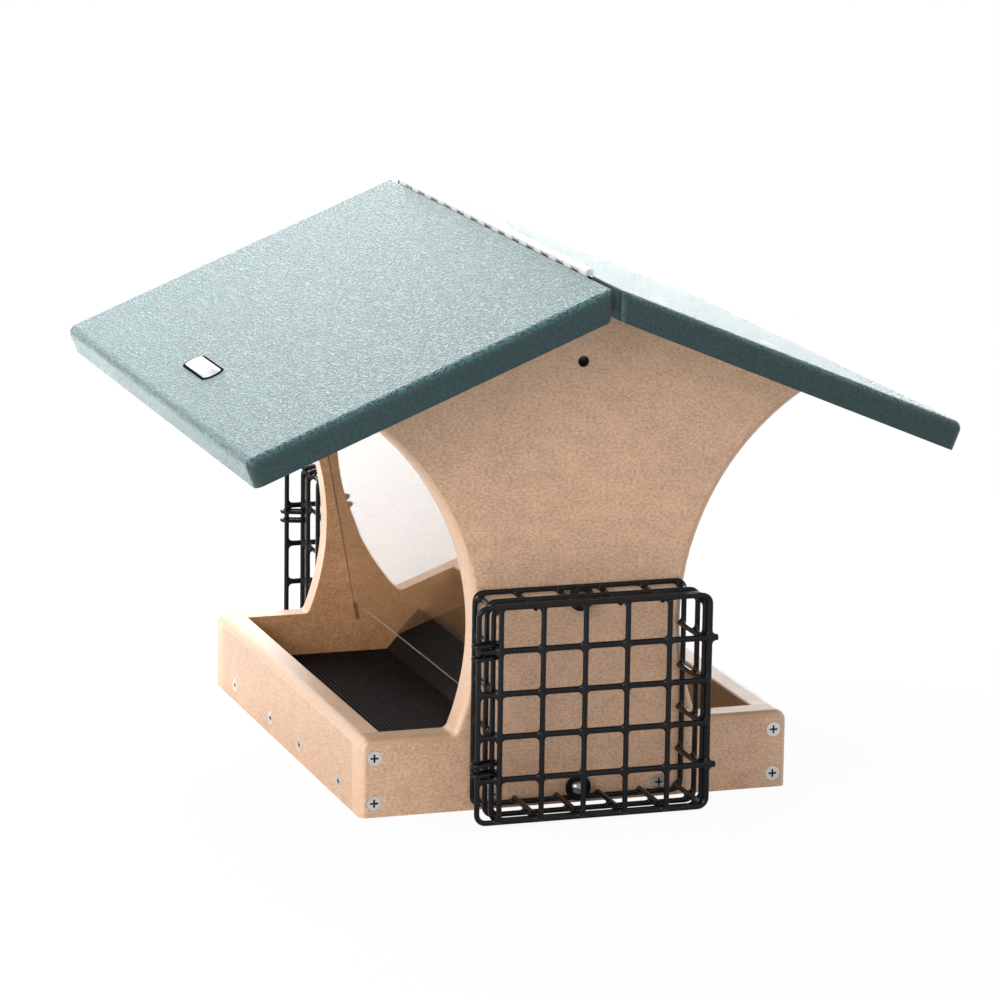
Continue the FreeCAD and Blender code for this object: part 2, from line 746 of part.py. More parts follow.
# Roof boards: the ridge edge is cut plumb with rounded corners, the eave square to the slope
def make_roof_board(name):
    body = new_body(f"Body_{name}")
    board = pad(body, "XZ_Plane", [
        ("Derived.ridge_half", "Derived.ridge_z"),
        ("Derived.eave_x", "Derived.eave_z"),
        ("Derived.eave_top_x", "Derived.eave_top_z"),
        ("Derived.ridge_half", "Derived.ridge_top_z"),
    ], "Sizes.roof_length", "Symmetric")
    ridge_x = value("Derived.ridge_half")
    ridge_bottom = value("Derived.ridge_z")
    slope = value("Derived.slope")

    def at_ridge(edge):
        return all(vertex.Point.x - ridge_x < NEAR for vertex in edge.Vertexes)

    def underneath(edge):
        return all(ridge_bottom - vertex.Point.z - (vertex.Point.x - ridge_x) * slope > -NEAR
                   for vertex in edge.Vertexes)

    eased = fillet(body, board, "Sizes.roof_round",
                   lambda edge: not (at_ridge(edge) or underneath(edge)))
    fillet(body, eased, "Sizes.ridge_round",
           lambda edge: at_ridge(edge) and not underneath(edge))
    x = "Derived.ridge_half"
    y = "Sizes.roof_length / 2"
    corner = "Sizes.ridge_corner"
    for corners in (
        [(x, f"-({y})"), (f"{x} + {corner}", f"-({y})", f"-{corner}"), (x, f"-({y} - {corner})")],
        [(x, y), (x, f"{y} - {corner}", f"-{corner}"), (f"{x} + {corner}", y)],
    ):
        pocket(body, "XY_Plane", corners, "4 * Sizes.roof_apex", "Symmetric")
    return body


fixed_board = make_roof_board("fixed_roof")
fixed_drilled = cut("FixedRoofDrilled", fixed_board, all_holes)
keep("fixed_roof", cut("FixedRoof", fixed_drilled, hinge_holes["fixed"]))
lid_board = make_roof_board("roof_lid")
place(lid_board, "Derived.lid_shift_x", "0", "Derived.lid_shift_z", (Vector(0, 0, 1), "180"))
keep("roof_lid", cut("RoofLid", lid_board, hinge_holes["lid"]))


# Label plate: a blank lozenge near the lid's eave
def make_label():
    body = new_body("LabelPlate")
    half_width = "Sizes.label_width / 2"
    bulge = "Sizes.label_bulge_radius"
    sag = f"({bulge} - sqrt({bulge} ^ 2 - ({half_width}) ^ 2))"
    straight = f"Sizes.label_length / 2 - {sag}"
    pad(body, "XY_Plane", [
        (half_width, f"-({straight})"),
        (half_width, straight, bulge),
        (f"-({half_width})", straight),
        (f"-({half_width})", f"-({straight})", bulge),
    ], "Sizes.label_thickness")
    inset = "Sizes.label_from_eave"
    place(body,
          f"-Derived.eave_top_x + {inset} * Derived.slope_cos + Derived.lid_shift_x", "-Sizes.label_shift",
          f"Derived.eave_top_z + {inset} * Derived.slope_sin + Derived.lid_shift_z",
          (Vector(0, 1, 0), "-Sizes.roof_pitch"))
    keep("label_plate", body)


make_label()


# Ridge hinge: two leaves with alternate knuckles on one pin
def make_leaf(name, side, first_notch):
    x = "-Derived.barrel_radius" if side == "lid" else f"{leaf_face}"
    plate = box(f"Plate_{name}", x, "Derived.hinge_start", "Derived.hinge_z - Sizes.hinge_leaf_drop",
                "Sizes.hinge_leaf", "Derived.hinge_length", "Sizes.hinge_leaf_drop")
    barrel = rod(f"Barrel_{name}", "Derived.barrel_radius", "Derived.hinge_length",
                 "0", "Derived.hinge_start", "Derived.hinge_z", FACING_REAR)
    bore = rod(f"Bore_{name}", "Sizes.pin_diameter / 2 + Sizes.pin_clearance", "Derived.hinge_length",
               "0", "Derived.hinge_start", "Derived.hinge_z", FACING_REAR)
    reach = "(Derived.barrel_radius + Sizes.notch_clearance)"
    notches = [
        box(f"Notch_{name}", f"-{reach}",
            f"Derived.hinge_start + {number} * Sizes.knuckle_length - Sizes.knuckle_gap / 2",
            f"Derived.hinge_z - {reach}", f"2 * {reach}", "Sizes.knuckle_length + Sizes.knuckle_gap",
            f"2 * {reach}")
        for number in range(first_notch, KNUCKLES, 2)
    ]
    rolled = cut(f"Rolled_{name}", fused(f"Blank_{name}", [plate, barrel]), bore)
    notched = cut(f"Notched_{name}", rolled, group(f"Notches_{name}", notches))
    keep(name, cut(f"Leaf_{name}", notched, hinge_holes[side]))


make_leaf("hinge_leaf_lid", "lid", 1)
make_leaf("hinge_leaf_fixed", "fixed", 0)
keep("hinge_pin", rod("HingePin", "Sizes.pin_diameter / 2", "Derived.hinge_length",
                      "0", "Derived.hinge_start", "Derived.hinge_z", FACING_REAR))


# Suet cages
def rounded_ring(left, right, low, high, corner):
    """Outline of a wire ring in the panel's plane, from the middle of its lowest run."""
    return [
        (f"({left} + {right}) / 2", low),
        (f"{right} - {corner}", low, corner),
        (right, f"{low} + {corner}"),
        (right, f"{high} - {corner}", corner),
        (f"{right} - {corner}", high),
        (f"{left} + {corner}", high, corner),
        (left, f"{high} - {corner}"),
        (left, f"{low} + {corner}", corner),
        (f"{left} + {corner}", low),
    ]


def make_basket():
    ring = rounded_ring("-Derived.cage_side", "Derived.cage_side", "Sizes.cage_floor", "Derived.cage_top",
                        "Sizes.cage_corner")
    wires = [
        wire_loop(f"Ring{label}", ring, "Derived.wire_radius", FACING_FRONT, y=f"Derived.{label}_y")
        for label in ("back", "middle", "rim")
    ]
    inner_side = "(Derived.cage_side - Derived.weld_step)"
    inner_low = "(Sizes.cage_floor + Derived.weld_step)"
    inner_high = "(Derived.cage_top - Derived.weld_step)"
    places = []
    for number in range(1, CELLS):
        column = f"-Derived.cage_side + {number} * Derived.cell_width"
        row = f"Sizes.cage_floor + {number} * Derived.cell_height"
        places += [(column, inner_low), (column, inner_high)]
        places += [(f"-{inner_side}", row), (inner_side, row)]
    corner_in = "(Sizes.cage_corner - (Sizes.cage_corner - Derived.weld_step) * sqrt(0.5))"
    for sign in ("-", ""):
        x = f"{sign}(Derived.cage_side - {corner_in})"
        places += [(x, f"Sizes.cage_floor + {corner_in}"), (x, f"Derived.cage_top - {corner_in}")]
    wires += [
        rod("Rung", "Derived.wire_radius", "Sizes.cage_depth", x, "Derived.rim_y", z, FACING_REAR)
        for x, z in places
    ]
    return fused("Basket", wires)


def make_door():
    ring = rounded_ring("Derived.door_left", "Derived.door_right", "Sizes.cage_floor", "Derived.cage_top",
                        "Sizes.cage_corner")
    wires = [wire_loop("DoorRing", ring, "Derived.wire_radius", FACING_FRONT, y="Derived.door_y")]
    for number in range(CELLS):
        wires.append(rod(
            "DoorUpright", "Derived.wire_radius", "Sizes.cage_height",
            f"Derived.upright_x + {number} * Derived.upright_step",
            "Derived.door_front_y", "Sizes.cage_floor"))
    for number in range(1, CELLS):
        latch = " + Sizes.latch_length" if number in (1, CELLS - 1) else ""
        wires.append(rod(
            "DoorBar", "Derived.wire_radius", f"Derived.door_right - Derived.door_left{latch}",
            "Derived.door_left", "Derived.bar_y",
            f"Sizes.cage_floor + {number} * Derived.cell_height", FACING_RIGHT))
    return fused("Door", wires)


def make_hinge_ring():
    """A closed wire ring that ties the door's hinge wire to the basket's rim."""
    half = "Derived.ring_reach / 2"
    radius = "Derived.ring_radius"
    return wire_loop("HingeRing", [
        ("0", f"-{radius}"),
        (half, f"-{radius}", radius),
        (f"{half} + {radius}", "0", radius),
        (half, radius),
        (f"-({half})", radius, radius),
        (f"-({half} + {radius})", "0", radius),
        (f"-({half})", f"-{radius}"),
    ], "Sizes.hinge_ring_wire / 2", None)


def make_hinge_rings(name, split_bar, paired_bar, side):
    """Two rings on both sides of one bar of the door, and two on one side of another bar."""
    split = f"Sizes.cage_floor + {split_bar} * Derived.cell_height"
    paired = f"Sizes.cage_floor + {paired_bar} * Derived.cell_height"
    step = "Sizes.hinge_ring_step"
    heights = [f"{split} + {step}", f"{split} - {step}", f"{paired} {side} {step}",
               f"{paired} {side} ({step} + Sizes.hinge_ring_pitch)"]
    x = "(Derived.door_left - Derived.cage_side) / 2"
    y = "(Derived.door_y + Derived.rim_y) / 2"
    turn = (Vector(0, 0, 1), "Derived.ring_turn / 1 deg")
    return copies(name, hinge_ring, [(x, y, z) for z in heights], turn)


# The rear cage is the same cage turned over, so its rings sit the other way up
hinge_ring = make_hinge_ring()
front_rings = make_hinge_rings("FrontRings", CELLS - 1, 1, "+")
rear_rings = make_hinge_rings("RearRings", 1, CELLS - 1, "-")
cage_pieces = {
    "basket": (make_basket(),) * 2,
    "door": (make_door(),) * 2,
    "hinge_rings": (front_rings, rear_rings),
}
for cage_piece, (front_piece, rear_piece) in cage_pieces.items():
    keep(f"front_cage_{cage_piece}", front_piece)
    keep(f"rear_cage_{cage_piece}", mirrored(f"Rear_{cage_piece}", rear_piece))


def write_parts():
    """Check every object and shape, then write one file per sub-part."""
    doc.recompute()
    failed = [thing.Name for thing in doc.Objects if {"Invalid", "Error"} & set(thing.State)]
    bad = [node.Label for node in nodes if node.Shape.isNull() or not node.Shape.isValid()]
    if failed or bad:
        raise RuntimeError(f"failed objects {failed}, bad shapes {bad}")
    os.makedirs("parts", exist_ok=True)
    for node in nodes:
        node.Shape.exportStep(f"parts/{node.Label}.step")
        print(node.Label, len(node.Shape.Solids), "solids", round(node.Shape.Volume, 1), "mm3")


write_parts()
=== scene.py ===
"""Looks of a hopper bird feeder.

Board finishes, coated wire cages, a ribbed mat, clear windows and metal fittings, in a plain studio.
"""

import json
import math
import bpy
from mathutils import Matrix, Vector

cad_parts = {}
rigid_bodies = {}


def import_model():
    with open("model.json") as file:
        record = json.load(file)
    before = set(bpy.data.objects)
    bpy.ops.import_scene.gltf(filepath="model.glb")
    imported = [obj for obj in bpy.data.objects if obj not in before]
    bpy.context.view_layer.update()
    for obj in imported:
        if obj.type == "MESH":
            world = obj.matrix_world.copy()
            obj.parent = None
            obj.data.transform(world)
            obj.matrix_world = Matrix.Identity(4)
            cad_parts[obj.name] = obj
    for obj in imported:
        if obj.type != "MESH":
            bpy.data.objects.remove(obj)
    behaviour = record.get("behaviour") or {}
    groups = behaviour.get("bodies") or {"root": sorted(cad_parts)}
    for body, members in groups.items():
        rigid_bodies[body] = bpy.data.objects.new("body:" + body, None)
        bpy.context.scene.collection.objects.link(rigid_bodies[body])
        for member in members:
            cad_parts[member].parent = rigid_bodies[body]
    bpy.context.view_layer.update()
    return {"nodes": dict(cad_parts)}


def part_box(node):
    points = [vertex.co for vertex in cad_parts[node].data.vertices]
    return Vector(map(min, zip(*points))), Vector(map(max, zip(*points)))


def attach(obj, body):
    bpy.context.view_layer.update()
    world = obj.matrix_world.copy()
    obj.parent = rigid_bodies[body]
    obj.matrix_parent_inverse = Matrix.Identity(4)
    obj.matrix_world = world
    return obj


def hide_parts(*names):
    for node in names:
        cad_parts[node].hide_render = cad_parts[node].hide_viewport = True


bl_info = {
    "name": "Hopper bird feeder",
    "version": (1, 0, 0),
    "blender": (4, 5, 0),
    "location": "View3D > Sidebar > Feeder",
    "description": "Finishes a hopper bird feeder on its packed parts and sets a plain studio round it",
    "category": "Object",
}

import bmesh
import bpy
from bpy.props import FloatProperty, FloatVectorProperty, PointerProperty
from mathutils import Matrix, Vector

for leftover in list(bpy.data.objects):
    bpy.data.objects.remove(leftover)
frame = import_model()
nodes = frame["nodes"]

MM = 0.001

# Where the solids' planes and axes lie, in millimetres from the feeder's middle
ROOF_APEX = 281.0
ROOF_THICKNESS = 16.0
HINGE_BARREL = 297.0
PANEL_FACE = 152.5
RAIL_FACE = 125.0
BOARD = 16.0
ROOF_PITCH = math.radians(22.4)
WINDOW_LEAN = math.radians(10.4)

# The hanging hole's axis, and the distances from it between which the painted shade inside the hole ends, in
# metres
HANGING_HOLE = (0.0, 0.0, 249.0 * MM)
HOLE_SHADE_REACH = (3.05 * MM, 3.35 * MM)

# Shares and counts for the wires, the mat and the label; a rib goes across and up from 0 to 1
ARC_HANDLE = 0.5523
CELLS = 5
STOUT_BARS = 1.08
COAT_SHRINK = 0.88
SHARP_CREASE = math.radians(50)
FACING_UP = 0.98
RIB_PROFILE = ((0.0, 0.0), (0.14, 0.0), (0.22, 0.5), (0.34, 0.9),
               (0.5, 1.0), (0.66, 0.9), (0.78, 0.5), (0.86, 0.0))

# How far out the floor goes over to white, seen directly and mirrored, in metres
FLOOR_FADE = (0.35, 1.2)
MIRRORED_FADE = (1.4, 2.4)

ALONG_X = (1.0, 0.0, 0.0)
ALONG_Y = (0.0, 1.0, 0.0)
ALONG_Z = (0.0, 0.0, 1.0)

# Colours of dirt, of the painted shade inside the hanging hole and of the label's rim, in linear light
WHITE = (1.0, 1.0, 1.0, 1.0)
# Painted shade: the dark colour painted inside the hanging hole's bore, where shadow falls
HOLE_PAINTED_SHADE = (0.05, 0.03, 0.02, 1.0)
WIRE_DUST = (0.05, 0.05, 0.052, 1.0)
MAT_DUST = (0.025, 0.020, 0.021, 1.0)
SHEET_SCUFF = (0.07, 0.062, 0.056, 1.0)
WINDOW_DUST = (0.8, 0.8, 0.8, 1.0)
WINDOW_SHADE = (0.93, 0.94, 0.93, 1.0)
RIM_DARK = (0.006, 0.006, 0.007, 1.0)
RIM_LIGHT = (0.016, 0.016, 0.017, 1.0)

# Ends of the feeder with their side along y, and groups of like nodes
ENDS = {"front": -1, "rear": 1}
PANELS = ("front_end_panel", "rear_end_panel")
RAILS = ("left_tray_rail", "right_tray_rail")
PANEL_SCREWS = ("front_panel_screws", "rear_panel_screws")
RAIL_SCREWS = ("left_rail_screws", "right_rail_screws")
HINGE_PARTS = ("hinge_leaf_lid", "hinge_leaf_fixed", "hinge_pin", "hinge_screws_lid", "hinge_screws_fixed")


def length(name, description, millimetres):
    """A size that a user may change, given in millimetres."""
    return FloatProperty(name=name, description=description, default=millimetres * MM, min=0.0,
                         unit="LENGTH", subtype="DISTANCE", precision=5)


def colour(name, description, red, green, blue):
    """A finish colour that a user may change, in linear light."""
    return FloatVectorProperty(name=name, description=description, default=(red, green, blue), size=3,
                               min=0.0, max=1.0, subtype="COLOR")


def angle(name, description, degrees):
    """A stage angle, given in degrees."""
    return FloatProperty(name=name, description=description, default=math.radians(degrees), subtype="ANGLE")


def amount(name, description, default):
    """A plain strength or power."""
    return FloatProperty(name=name, description=description, default=default, min=0.0)


class FeederSizes(bpy.types.PropertyGroup):
    """Sizes of the pieces that are made here."""

    wire_radius: length("Wire radius", "Half the thickness of a coated cage wire", 1.5)
    coat_fillet: length("Coat fillet", "Radius of the coating where two wires cross", 1.0)
    coat_grain: length("Coat grain", "Size of the cells that the coating is skinned with", 0.6)
    cage_bend: length("Cage bend", "Bend at the corners of the cage's rings, on the wire's middle", 5.0)
    cage_middle: length("Middle ring", "From a cage's back ring to its middle ring", 21.5)
    weld_step: length("Weld step", "Between the middles of two wires that are welded together", 2.4)
    door_gap: length("Door gap", "Between the middles of the basket's rim and the door's ring", 3.3)
    door_width: length("Door width", "Width of the door's ring between the middles of its sides", 133.1)
    door_bar_step: length("Bar step", "How far the door's bars stand in front of its ring", 0.6)
    first_upright: length("First upright", "From the door's hinge wire to its first upright", 11.9)
    upright_step: length("Upright step", "Between the door's uprights", 24.24)
    latch: length("Latch ends", "How far two of the door's bars stick out at the latch side", 5.0)
    mat_pitch: length("Mat pitch", "From one rib of the floor mat to the next", 2.5)
    mat_band: length("Mat band", "Plain band at both ends of the floor mat", 1.5)
    mat_rib: length("Mat rib", "Height of the floor mat's ribs", 1.5)
    label_rim: length("Label rim", "Width of the dark rim round the blank label", 1.4)
    label_rise: length("Label rise", "How far the label's face stands proud of its rim", 0.12)


class FeederColours(bpy.types.PropertyGroup):
    """Colours of the finishes."""

    tan_light: colour("Tan, light", "Pale flecks of the tan boards", 0.740, 0.460, 0.292)
    tan_dark: colour("Tan, dark", "Dark flecks of the tan boards", 0.420, 0.255, 0.157)
    tan_cut: colour("Tan, cut", "Cut and rounded edges of the tan boards", 0.680, 0.435, 0.280)
    # Painted shade: tint that darkens the boards' inner faces inside the hopper, where shade falls
    tan_inner_shade: colour("Tan, inner", "Deeper tint of the tan boards' sheltered inner faces", 0.92, 0.75, 0.52)
    # Painted shade: tint that darkens the end panels' level edges, shaded by the roof above
    tan_top_shade: colour("Tan, shaded", "Shaded tint of the end panels' level edges", 0.75, 0.73, 0.63)
    green_light: colour("Green, light", "Pale flecks of the roof boards", 0.028, 0.138, 0.142)
    green_dark: colour("Green, dark", "Dark flecks of the roof boards", 0.004, 0.021, 0.022)
    green_sheen: colour("Green, sheen", "Pale sheen of the roof boards, seen low down", 0.70, 0.95, 0.97)
    wire: colour("Wire coating", "Glossy coating of the cage wires", 0.006, 0.006, 0.007)
    rubber: colour("Mat rubber", "Ribbed mat on the floor", 0.009, 0.007, 0.0075)
    sheet: colour("Diverter sheet", "Folded sheet under the hopper", 0.009, 0.008, 0.008)
    clear: colour("Clear sheet", "Tint of the windows", 0.994, 0.996, 0.995)
    screw: colour("Screw metal", "Plating of the board screws", 0.68, 0.67, 0.65)
    dome: colour("Dome metal", "Plating of the cages' dome screws", 0.34, 0.34, 0.34)
    hinge: colour("Hinge metal", "Plating of the long hinge", 0.88, 0.87, 0.85)
    label: colour("Label face", "Blank metal face of the label", 0.82, 0.83, 0.85)
    floor: colour("Floor", "Studio floor", 0.90, 0.90, 0.90)


class FeederStage(bpy.types.PropertyGroup):
    """Camera, floor and lamps."""

    camera_place: FloatVectorProperty(name="Camera", description="Where the camera stands", size=3,
                                      default=(-0.8464, -2.5490, 0.7280), subtype="TRANSLATION",
                                      unit="LENGTH")
    azimuth: angle("Azimuth", "Camera's turn round the feeder", -18.45)
    elevation: angle("Elevation", "Camera's height above the horizon", 12.36)
    roll: angle("Roll", "Camera's turn on its own axis", 0.82)
    lens: FloatProperty(name="Lens", description="Focal length on a 36 mm sensor", default=170.95,
                        min=1.0, unit="CAMERA")
    floor_size: length("Floor size", "Side of the studio floor", 16000.0)
    ambient: amount("Ambient", "Strength of the even light from all round", 0.58)
    key_power: amount("Key lamp", "Power of the soft lamp on the left, in watts", 14.6)
    front_power: amount("Front lamp", "Power of the small soft lamp at the front left, in watts", 7.5)
    back_power: amount("Back lamp", "Power of the wide soft lamp behind, in watts", 22.0)
    low_power: amount("Low lamp", "Power of the low soft lamp behind on the right, in watts", 18.0)
    floor_power: amount("Floor lamp", "Power of the lamp on the floor behind, in watts", 16.0)
    floor_white: FloatProperty(name="Floor white", description="How far the floor is lifted to white",
                               default=0.94, min=0.0, max=1.0, subtype="FACTOR")


class Paint:
    """A socket in a material's nodes. Arithmetic on it adds Math nodes."""

    def __init__(self, tree, socket=None):
        self.tree = tree
        self.socket = socket

    def node(self, kind, settings=None, sockets=None, output=0):
        """Add a node, set it up, feed its sockets with values or other sockets, and return one output."""
        made = self.tree.nodes.new("ShaderNode" + kind)
        for name, setting in (settings or {}).items():
            setattr(made, name, setting)
        for name, given in (sockets or {}).items():
            if isinstance(given, Paint):
                self.tree.links.new(given.socket, made.inputs[name])
            else:
                made.inputs[name].default_value = given
        return Paint(self.tree, made.outputs[output]) if made.outputs else None

    def math(self, operation, first, second):
        """A Math node on two values or sockets."""
        return self.node("Math", {"operation": operation}, {0: first, 1: second})

    def __add__(self, other):
        return self.math("ADD", self, other)

    def __radd__(self, other):
        return self.math("ADD", other, self)

    def __sub__(self, other):
        return self.math("SUBTRACT", self, other)

    def __rsub__(self, other):
        return self.math("SUBTRACT", other, self)

    def __mul__(self, other):
        return self.math("MULTIPLY", self, other)

    def __rmul__(self, other):
        return self.math("MULTIPLY", other, self)

    def place(self):
        """Where the surface is, in the feeder's frame."""
        return self.node("TexCoord", output="Object")

    def noise(self, spot, size, detail=2.0, stretch=None):
        """Soft grain of that size in millimetres, from 0 to 1; stretch draws it out along an axis."""
        if stretch:
            spot = self.node("VectorMath", {"operation": "MULTIPLY"}, {0: spot, 1: stretch})
        return self.node("TexNoise", None,
                         {"Vector": spot, "Scale": 1.0 / (size * MM), "Detail": detail, "Roughness": 0.55})

    def between(self, low, high, start=0.0, end=1.0):
        """This value eased from start to end as it goes from low to high."""
        return self.node("MapRange", {"interpolation_type": "SMOOTHSTEP"},
                         {"Value": self, "From Min": low, "From Max": high, "To Min": start, "To Max": end})

    def mix(self, first, second):
        """One colour or another, with this value as the share of the second."""
        return self.node("Mix", {"data_type": "RGBA"}, {0: self, 6: first, 7: second}, output=2)

    def tinted(self, tone, tint):
        """A colour multiplied by a tint, with this value as the tint's share."""
        return self.node("Mix", {"data_type": "RGBA", "blend_type": "MULTIPLY"},
                         {0: self, 6: tone, 7: tint}, output=2)

    def along(self, axis):
        """How far this vector reaches along an axis, either way."""
        reach = self.node("VectorMath", {"operation": "DOT_PRODUCT"}, {0: self, 1: axis}, output="Value")
        return self.node("Math", {"operation": "ABSOLUTE"}, {0: reach})

    def facing(self, axis, none=0.955, full=0.985):
        """1 where the surface faces along an axis, either way, and 0 where it turns away from it."""
        return self.node("TexCoord", output="Normal").along(axis).between(none, full)

    def bump(self, height, depth):
        """A surface normal for a relief of that depth in millimetres."""
        return self.node("Bump", None, {"Strength": 1.0, "Distance": depth * MM, "Height": height})

    def shader(self, **sockets):
        """The finish itself, from its values and sockets."""
        named = {name.replace("_", " "): given for name, given in sockets.items()}
        return self.node("BsdfPrincipled", None, named)

    def done(self, surface):
        """Make this the material's surface."""
        self.node("OutputMaterial", None, {"Surface": surface})


def rgba(tone, share=1.0):
    """A colour, or a share of it, as a colour socket takes it."""
    return (*[share * part for part in tone], 1.0)


def new_finish(name):
    """An empty material and the start of its paint."""
    material = bpy.data.materials.new(name)
    material.use_nodes = True
    material.node_tree.nodes.clear()
    return material, Paint(material.node_tree)


def tan_board(name, colours, skin_axis, stretch, inner_plane, side_axis=None):
    """Recycled plastic lumber: mottled skin on the wide faces, finer streaks on the cut and rounded edges.

    Painted shade: the face inside a plane across the skin's axis gets a deeper tint, and the hanging hole's
    bore is painted dark.
    With a side axis, the level edges that face neither along it nor along the skin's axis get a darker tint,
    as painted shade under the roof.
    """
    material, paint = new_finish(name)
    spot = paint.place()
    skin = paint.facing(skin_axis)
    fleck = paint.noise(spot, 1.2, 2.0, stretch)
    grain = paint.noise(spot, 0.5, 1.0)
    cloud = paint.noise(spot, 7.0, 3.0, stretch)
    broad = paint.noise(spot, 60.0, 2.0)
    streak = paint.noise(spot, 1.1, 2.0, [0.12 if part < 1.0 else 1.0 for part in stretch])
    mottle = 0.5 * fleck + 0.22 * grain + 0.18 * cloud + 0.1 * broad
    face = mottle.between(0.34, 0.66).mix(rgba(colours.tan_dark), rgba(colours.tan_light))
    worked = 0.3 * fleck + 0.2 * grain + 0.34 * streak + 0.16 * broad
    edge = worked.between(0.3, 0.7).mix(rgba(colours.tan_cut, 0.86), rgba(colours.tan_cut, 1.12))
    board = skin.mix(edge, face)
    # Painted shade: the level edges under the roof get a darker tint
    if side_axis:
        level = (1.0 - paint.facing(side_axis, 0.10, 0.45)) * (1.0 - paint.facing(skin_axis, 0.97, 0.998))
        board = level.tinted(board, rgba(colours.tan_top_shade))
    # Painted shade: the faces inside the plane, within the hopper, get the deeper inner tint
    depth = inner_plane * MM - spot.along(skin_axis)
    shadowed = depth.between(-0.5 * MM, 0.0).tinted(board, rgba(colours.tan_inner_shade))
    # Painted shade: the hanging hole's bore is painted dark, as shadow inside the hole
    upright = paint.node("VectorMath", {"operation": "MULTIPLY"}, {0: spot, 1: (1.0, 0.0, 1.0)})
    away = paint.node("VectorMath", {"operation": "DISTANCE"}, {0: upright, 1: HANGING_HOLE}, output="Value")
    tone = away.between(*HOLE_SHADE_REACH).mix(HOLE_PAINTED_SHADE, shadowed)
    roughness = 0.36 + 0.14 * cloud + skin * 0.08 * grain
    relief = skin * (0.7 * paint.noise(spot, 2.2, 2.0) + 0.3 * grain) + (1.0 - skin) * 0.5 * streak
    paint.done(paint.shader(Base_Color=tone, Roughness=roughness, IOR=1.5, Specular_IOR_Level=0.9,
                            Normal=paint.bump(relief, 0.16)))
    return material


def green_board(name, colours, skin_axis):
    """Dark green plastic lumber: a pebbled skin that runs over the rounded arrises, smoother cut edges."""
    material, paint = new_finish(name)
    spot = paint.place()
    skin = paint.facing(skin_axis, 0.30, 0.90)
    pebble = paint.noise(spot, 1.7, 1.5).between(0.36, 0.64)
    grain = paint.noise(spot, 0.6, 1.0)
    cloud = paint.noise(spot, 14.0, 3.0)
    streak = paint.noise(spot, 1.2, 2.0, [1.0, 0.12, 1.0])
    share = 0.45 * pebble + 0.25 * grain + 0.3 * (skin * cloud + (1.0 - skin) * streak)
    pale = skin * share.between(0.20, 0.82) + (1.0 - skin) * (0.02 + 0.10 * share.between(0.35, 0.70))
    tone = pale.mix(rgba(colours.green_dark), rgba(colours.green_light))
    roughness = 0.44 - 0.22 * pebble + 0.06 * cloud + (1.0 - skin) * 0.1
    relief = skin * (0.85 * pebble + 0.15 * grain) + (1.0 - skin) * (0.2 * grain + 0.2 * streak)
    paint.done(paint.shader(Base_Color=tone, Roughness=roughness, IOR=1.5, Sheen_Weight=0.38,
                            Sheen_Roughness=0.45, Sheen_Tint=rgba(colours.green_sheen),
                            Normal=paint.bump(relief, 0.42)))
    return material


def coated_wire(colours):
    """Glossy dipped coating, slightly uneven, with a little dust."""
    material, paint = new_finish("coated_wire")
    spot = paint.place()
    swell = paint.noise(spot, 5.0, 2.0)
    speck = paint.noise(spot, 0.9, 2.0)
    dust = speck.between(0.60, 0.80)
    tone = (0.35 * dust).mix(rgba(colours.wire), WIRE_DUST)
    roughness = 0.09 + 0.08 * swell + 0.20 * dust
    relief = 0.8 * swell + 0.2 * speck
    paint.done(paint.shader(Base_Color=tone, Roughness=roughness, IOR=1.5, Specular_IOR_Level=0.2,
                            Normal=paint.bump(relief, 0.25)))
    return material


def mat_rubber(colours):
    """Matt rubber with dusty rib tops."""
    material, paint = new_finish("mat_rubber")
    spot = paint.place()
    cloud = paint.noise(spot, 18.0, 3.0)
    speck = paint.noise(spot, 0.8, 2.0)
    dust = (0.6 * cloud + 0.4 * speck).between(0.48, 0.72)
    tone = (0.3 * dust).mix(rgba(colours.rubber), MAT_DUST)
    roughness = 0.22 + 0.14 * speck
    paint.done(paint.shader(Base_Color=tone, Roughness=roughness, IOR=1.5, Specular_IOR_Level=0.02,
                            Normal=paint.bump(speck, 0.08)))
    return material


def diverter_sheet(colours):
    """Smooth dark plastic sheet with faint scuffs along its length."""
    material, paint = new_finish("diverter_sheet")
    spot = paint.place()
    scuff = paint.noise(spot, 1.5, 3.0, (1.0, 0.08, 1.0)).between(0.58, 0.75)
    cloud = paint.noise(spot, 25.0, 3.0)
    speck = paint.noise(spot, 0.7, 2.0).between(0.66, 0.80)
    tone = (0.4 * scuff + 0.5 * speck).mix(rgba(colours.sheet), SHEET_SCUFF)
    roughness = 0.26 + 0.16 * cloud + 0.2 * scuff
    paint.done(paint.shader(Base_Color=tone, Roughness=roughness, IOR=1.5, Specular_IOR_Level=0.03,
                            Normal=paint.bump(cloud, 0.3)))
    return material


def clear_sheet(name, colours, face_axis):
    """Clear plastic: polished faces with fine dust and frosted sawn edges; lamps shine through it."""
    material, paint = new_finish(name)
    spot = paint.place()
    face = paint.facing(face_axis)
    saw = paint.noise(spot, 0.8, 2.0)
    speck = paint.noise(spot, 1.1, 1.0).between(0.74, 0.82)
    wipe = paint.noise(spot, 14.0, 4.0, (1.0, 0.3, 1.0))
    roughness = face * (0.012 + 0.02 * wipe + 0.25 * speck) + (1.0 - face) * (0.30 + 0.2 * saw)
    tone = speck.mix(rgba(colours.clear), WINDOW_DUST)
    glass = paint.shader(Base_Color=tone, Roughness=roughness, IOR=1.58, Transmission_Weight=1.0)
    lit = paint.node("BsdfTransparent", None, {"Color": WINDOW_SHADE})
    shadow = paint.node("LightPath", output="Is Shadow Ray")
    paint.done(paint.node("MixShader", None, {0: shadow, 1: glass, 2: lit}))
    return material


